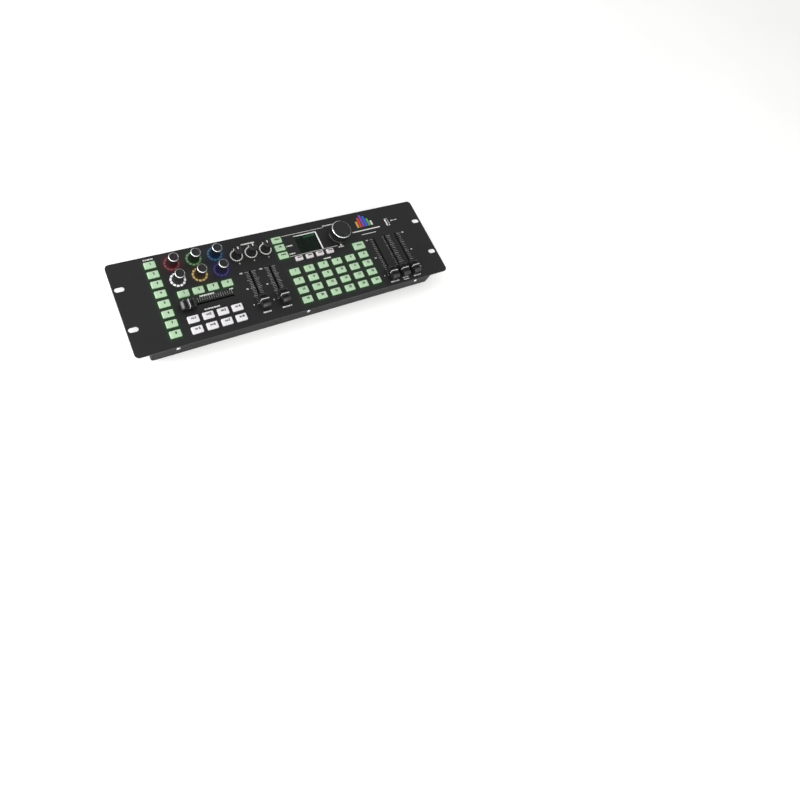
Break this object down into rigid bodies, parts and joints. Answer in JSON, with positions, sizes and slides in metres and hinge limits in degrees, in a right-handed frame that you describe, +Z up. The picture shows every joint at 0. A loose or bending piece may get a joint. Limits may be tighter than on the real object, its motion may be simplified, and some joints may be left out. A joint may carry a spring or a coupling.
{
  "type": "lighting control desk",
  "caption": "Rack-mount lighting control desk: lit keys, collared colour knobs, faders, a small display and a select knob over a shallow steel case.",
  "frame": {"origin": "on the surface it stands on, under the centre of the panel", "axes": "+X to the operator's right along the panel's length, +Y to the rear, +Z up out of the panel's face"},
  "size_m": [0.4826, 0.1324, 0.052],
  "materials": {
    "panel_black": "satin powder coat",
    "case_black": "fine-textured powder coat",
    "zinc_steel": "zinc plated",
    "foot_rubber": "matt",
    "screw_steel": "nickel plated",
    "board_green": "solder mask",
    "spacer_brass": "turned",
    "display_frame": "moulded, pale",
    "display_glass": "clear cover over a dark screen",
    "collar_lens": "milky, lit from below",
    "control_metal": "stamped",
    "black_plastic": "moulded",
    "socket_nickel": "nickel plated shell",
    "rocker_black": "moulded",
    "knob_black": "satin moulded",
    "cap_black": "fine moulded grain",
    "key_green": "translucent silicone, lit green",
    "key_white": "translucent silicone, lit white"
  },
  "bodies": {
    "desk": {"front_panel": "panel_black", "panel_brackets": "zinc_steel", "case_tray": "case_black", "rubber_feet": "foot_rubber", "case_screws": "screw_steel", "main_board": "board_green", "board_spacers": "spacer_brass", "display_module": "display_frame", "display_cover": "display_glass", "light_collars": "collar_lens", "rotary_bodies": "control_metal", "fader_tracks": "control_metal", "key_switches": "black_plastic", "usb_socket": "socket_nickel", "dmx_sockets": "black_plastic", "power_inlet": "black_plastic", "switch_body": "black_plastic"},
    "fixture_key_1": {"fixture_key_1": "key_green"},
    "fixture_key_2": {"fixture_key_2": "key_green"},
    "fixture_key_3": {"fixture_key_3": "key_green"},
    "fixture_key_4": {"fixture_key_4": "key_green"},
    "fixture_key_5": {"fixture_key_5": "key_green"},
    "fixture_key_6": {"fixture_key_6": "key_green"},
    "fixture_key_7": {"fixture_key_7": "key_green"},
    "fixture_key_8": {"fixture_key_8": "key_green"},
    "group_key_1": {"group_key_1": "key_green"},
    "group_key_2": {"group_key_2": "key_green"},
    "group_key_3": {"group_key_3": "key_green"},
    "group_key_4": {"group_key_4": "key_green"},
    "menu_key_1": {"menu_key_1": "key_green"},
    "menu_key_2": {"menu_key_2": "key_green"},
    "menu_key_3": {"menu_key_3": "key_green"},
    "soft_key_1": {"soft_key_1": "key_white"},
    "soft_key_2": {"soft_key_2": "key_white"},
    "soft_key_3": {"soft_key_3": "key_white"},
    "soft_key_4": {"soft_key_4": "key_white"},
    "store_key": {"store_key": "key_green"},
    "effect_keys_rear_row": {"effect_keys_rear_row": "key_white"},
    "effect_keys_front_row": {"effect_keys_front_row": "key_white"},
    "preset_keys_row_1": {"preset_keys_row_1": "key_green"},
    "preset_keys_row_2": {"preset_keys_row_2": "key_green"},
    "preset_keys_row_3": {"preset_keys_row_3": "key_green"},
    "preset_keys_row_4": {"preset_keys_row_4": "key_green"},
    "red_knob": {"red_knob": "knob_black"},
    "green_knob": {"green_knob": "knob_black"},
    "blue_knob": {"blue_knob": "knob_black"},
    "white_knob": {"white_knob": "knob_black"},
    "amber_knob": {"amber_knob": "knob_black"},
    "violet_knob": {"violet_knob": "knob_black"},
    "rate_knob_1": {"rate_knob_1": "knob_black"},
    "rate_knob_2": {"rate_knob_2": "knob_black"},
    "rate_knob_3": {"rate_knob_3": "knob_black"},
    "select_knob": {"select_knob": "knob_black"},
    "lying_fader_cap": {"lying_fader_cap": "cap_black"},
    "left_fader_cap_1": {"left_fader_cap_1": "cap_black"},
    "left_fader_cap_2": {"left_fader_cap_2": "cap_black"},
    "right_fader_cap_1": {"right_fader_cap_1": "cap_black"},
    "right_fader_cap_2": {"right_fader_cap_2": "cap_black"},
    "right_fader_cap_3": {"right_fader_cap_3": "cap_black"},
    "power_rocker": {"power_rocker": "rocker_black"}
  },
  "joints": [
    {"name": "fixture_key_1_press", "type": "slide", "parent": "desk", "child": "fixture_key_1", "axis": [0, 0, -1], "range_m": [0, 0.0012], "stiffness_N_per_m": 400, "springref_m": -0.0005},
    {"name": "fixture_key_2_press", "type": "slide", "parent": "desk", "child": "fixture_key_2", "axis": [0, 0, -1], "range_m": [0, 0.0012], "stiffness_N_per_m": 400, "springref_m": -0.0005},
    {"name": "fixture_key_3_press", "type": "slide", "parent": "desk", "child": "fixture_key_3", "axis": [0, 0, -1], "range_m": [0, 0.0012], "stiffness_N_per_m": 400, "springref_m": -0.0005},
    {"name": "fixture_key_4_press", "type": "slide", "parent": "desk", "child": "fixture_key_4", "axis": [0, 0, -1], "range_m": [0, 0.0012], "stiffness_N_per_m": 400, "springref_m": -0.0005},
    {"name": "fixture_key_5_press", "type": "slide", "parent": "desk", "child": "fixture_key_5", "axis": [0, 0, -1], "range_m": [0, 0.0012], "stiffness_N_per_m": 400, "springref_m": -0.0005},
    {"name": "fixture_key_6_press", "type": "slide", "parent": "desk", "child": "fixture_key_6", "axis": [0, 0, -1], "range_m": [0, 0.0012], "stiffness_N_per_m": 400, "springref_m": -0.0005},
    {"name": "fixture_key_7_press", "type": "slide", "parent": "desk", "child": "fixture_key_7", "axis": [0, 0, -1], "range_m": [0, 0.0012], "stiffness_N_per_m": 400, "springref_m": -0.0005},
    {"name": "fixture_key_8_press", "type": "slide", "parent": "desk", "child": "fixture_key_8", "axis": [0, 0, -1], "range_m": [0, 0.0012], "stiffness_N_per_m": 400, "springref_m": -0.0005},
    {"name": "group_key_1_press", "type": "slide", "parent": "desk", "child": "group_key_1", "axis": [0, 0, -1], "range_m": [0, 0.0012], "stiffness_N_per_m": 400, "springref_m": -0.0005},
    {"name": "group_key_2_press", "type": "slide", "parent": "desk", "child": "group_key_2", "axis": [0, 0, -1], "range_m": [0, 0.0012], "stiffness_N_per_m": 400, "springref_m": -0.0005},
    {"name": "group_key_3_press", "type": "slide", "parent": "desk", "child": "group_key_3", "axis": [0, 0, -1], "range_m": [0, 0.0012], "stiffness_N_per_m": 400, "springref_m": -0.0005},
    {"name": "group_key_4_press", "type": "slide", "parent": "desk", "child": "group_key_4", "axis": [0, 0, -1], "range_m": [0, 0.0012], "stiffness_N_per_m": 400, "springref_m": -0.0005},
    {"name": "menu_key_1_press", "type": "slide", "parent": "desk", "child": "menu_key_1", "axis": [0, 0, -1], "range_m": [0, 0.0012], "stiffness_N_per_m": 400, "springref_m": -0.0005},
    {"name": "menu_key_2_press", "type": "slide", "parent": "desk", "child": "menu_key_2", "axis": [0, 0, -1], "range_m": [0, 0.0012], "stiffness_N_per_m": 400, "springref_m": -0.0005},
    {"name": "menu_key_3_press", "type": "slide", "parent": "desk", "child": "menu_key_3", "axis": [0, 0, -1], "range_m": [0, 0.0012], "stiffness_N_per_m": 400, "springref_m": -0.0005},
    {"name": "soft_key_1_press", "type": "slide", "parent": "desk", "child": "soft_key_1", "axis": [0, 0, -1], "range_m": [0, 0.0012], "stiffness_N_per_m": 400, "springref_m": -0.0005},
    {"name": "soft_key_2_press", "type": "slide", "parent": "desk", "child": "soft_key_2", "axis": [0, 0, -1], "range_m": [0, 0.0012], "stiffness_N_per_m": 400, "springref_m": -0.0005},
    {"name": "soft_key_3_press", "type": "slide", "parent": "desk", "child": "soft_key_3", "axis": [0, 0, -1], "range_m": [0, 0.0012], "stiffness_N_per_m": 400, "springref_m": -0.0005},
    {"name": "soft_key_4_press", "type": "slide", "parent": "desk", "child": "soft_key_4", "axis": [0, 0, -1], "range_m": [0, 0.0012], "stiffness_N_per_m": 400, "springref_m": -0.0005},
    {"name": "store_key_press", "type": "slide", "parent": "desk", "child": "store_key", "axis": [0, 0, -1], "range_m": [0, 0.0012], "stiffness_N_per_m": 400, "springref_m": -0.0005},
    {"name": "effect_keys_rear_row_press", "type": "slide", "parent": "desk", "child": "effect_keys_rear_row", "axis": [0, 0, -1], "range_m": [0, 0.0012], "stiffness_N_per_m": 400, "springref_m": -0.0005},
    {"name": "effect_keys_front_row_press", "type": "slide", "parent": "desk", "child": "effect_keys_front_row", "axis": [0, 0, -1], "range_m": [0, 0.0012], "stiffness_N_per_m": 400, "springref_m": -0.0005},
    {"name": "preset_keys_row_1_press", "type": "slide", "parent": "desk", "child": "preset_keys_row_1", "axis": [0, 0, -1], "range_m": [0, 0.0012], "stiffness_N_per_m": 400, "springref_m": -0.0005},
    {"name": "preset_keys_row_2_press", "type": "slide", "parent": "desk", "child": "preset_keys_row_2", "axis": [0, 0, -1], "range_m": [0, 0.0012], "stiffness_N_per_m": 400, "springref_m": -0.0005},
    {"name": "preset_keys_row_3_press", "type": "slide", "parent": "desk", "child": "preset_keys_row_3", "axis": [0, 0, -1], "range_m": [0, 0.0012], "stiffness_N_per_m": 400, "springref_m": -0.0005},
    {"name": "preset_keys_row_4_press", "type": "slide", "parent": "desk", "child": "preset_keys_row_4", "axis": [0, 0, -1], "range_m": [0, 0.0012], "stiffness_N_per_m": 400, "springref_m": -0.0005},
    {"name": "red_knob_turn", "type": "hinge", "parent": "desk", "child": "red_knob", "pos_m": [-0.1593, 0.0481, 0.036], "axis": [0, 0, 1], "continuous": true},
    {"name": "green_knob_turn", "type": "hinge", "parent": "desk", "child": "green_knob", "pos_m": [-0.1293, 0.0481, 0.036], "axis": [0, 0, 1], "continuous": true},
    {"name": "blue_knob_turn", "type": "hinge", "parent": "desk", "child": "blue_knob", "pos_m": [-0.0993, 0.0481, 0.036], "axis": [0, 0, 1], "continuous": true},
    {"name": "white_knob_turn", "type": "hinge", "parent": "desk", "child": "white_knob", "pos_m": [-0.1593, 0.0232, 0.036], "axis": [0, 0, 1], "continuous": true},
    {"name": "amber_knob_turn", "type": "hinge", "parent": "desk", "child": "amber_knob", "pos_m": [-0.1293, 0.0232, 0.036], "axis": [0, 0, 1], "continuous": true},
    {"name": "violet_knob_turn", "type": "hinge", "parent": "desk", "child": "violet_knob", "pos_m": [-0.0993, 0.0232, 0.036], "axis": [0, 0, 1], "continuous": true},
    {"name": "rate_knob_1_turn", "type": "hinge", "parent": "desk", "child": "rate_knob_1", "pos_m": [-0.071, 0.0388, 0.036], "axis": [0, 0, 1], "range_deg": [-150, 150]},
    {"name": "rate_knob_2_turn", "type": "hinge", "parent": "desk", "child": "rate_knob_2", "pos_m": [-0.049, 0.0388, 0.036], "axis": [0, 0, 1], "range_deg": [-150, 150]},
    {"name": "rate_knob_3_turn", "type": "hinge", "parent": "desk", "child": "rate_knob_3", "pos_m": [-0.027, 0.0388, 0.036], "axis": [0, 0, 1], "range_deg": [-150, 150]},
    {"name": "select_knob_turn", "type": "hinge", "parent": "desk", "child": "select_knob", "pos_m": [0.091, 0.0346, 0.036], "axis": [0, 0, 1], "continuous": true},
    {"name": "lying_fader_cap_slide", "type": "slide", "parent": "desk", "child": "lying_fader_cap", "axis": [1, 0, 0], "range_m": [0, 0.063]},
    {"name": "left_fader_cap_1_slide", "type": "slide", "parent": "desk", "child": "left_fader_cap_1", "axis": [0, 1, 0], "range_m": [0, 0.049]},
    {"name": "left_fader_cap_2_slide", "type": "slide", "parent": "desk", "child": "left_fader_cap_2", "axis": [0, 1, 0], "range_m": [0, 0.049]},
    {"name": "right_fader_cap_1_slide", "type": "slide", "parent": "desk", "child": "right_fader_cap_1", "axis": [0, 1, 0], "range_m": [0, 0.063]},
    {"name": "right_fader_cap_2_slide", "type": "slide", "parent": "desk", "child": "right_fader_cap_2", "axis": [0, 1, 0], "range_m": [0, 0.063]},
    {"name": "right_fader_cap_3_slide", "type": "slide", "parent": "desk", "child": "right_fader_cap_3", "axis": [0, 1, 0], "range_m": [0, 0.063]},
    {"name": "power_rocker_tilt", "type": "hinge", "parent": "desk", "child": "power_rocker", "pos_m": [-0.06, 0.0606, 0.0115], "axis": [0, 0, 1], "range_deg": [0, 15]}
  ]
}
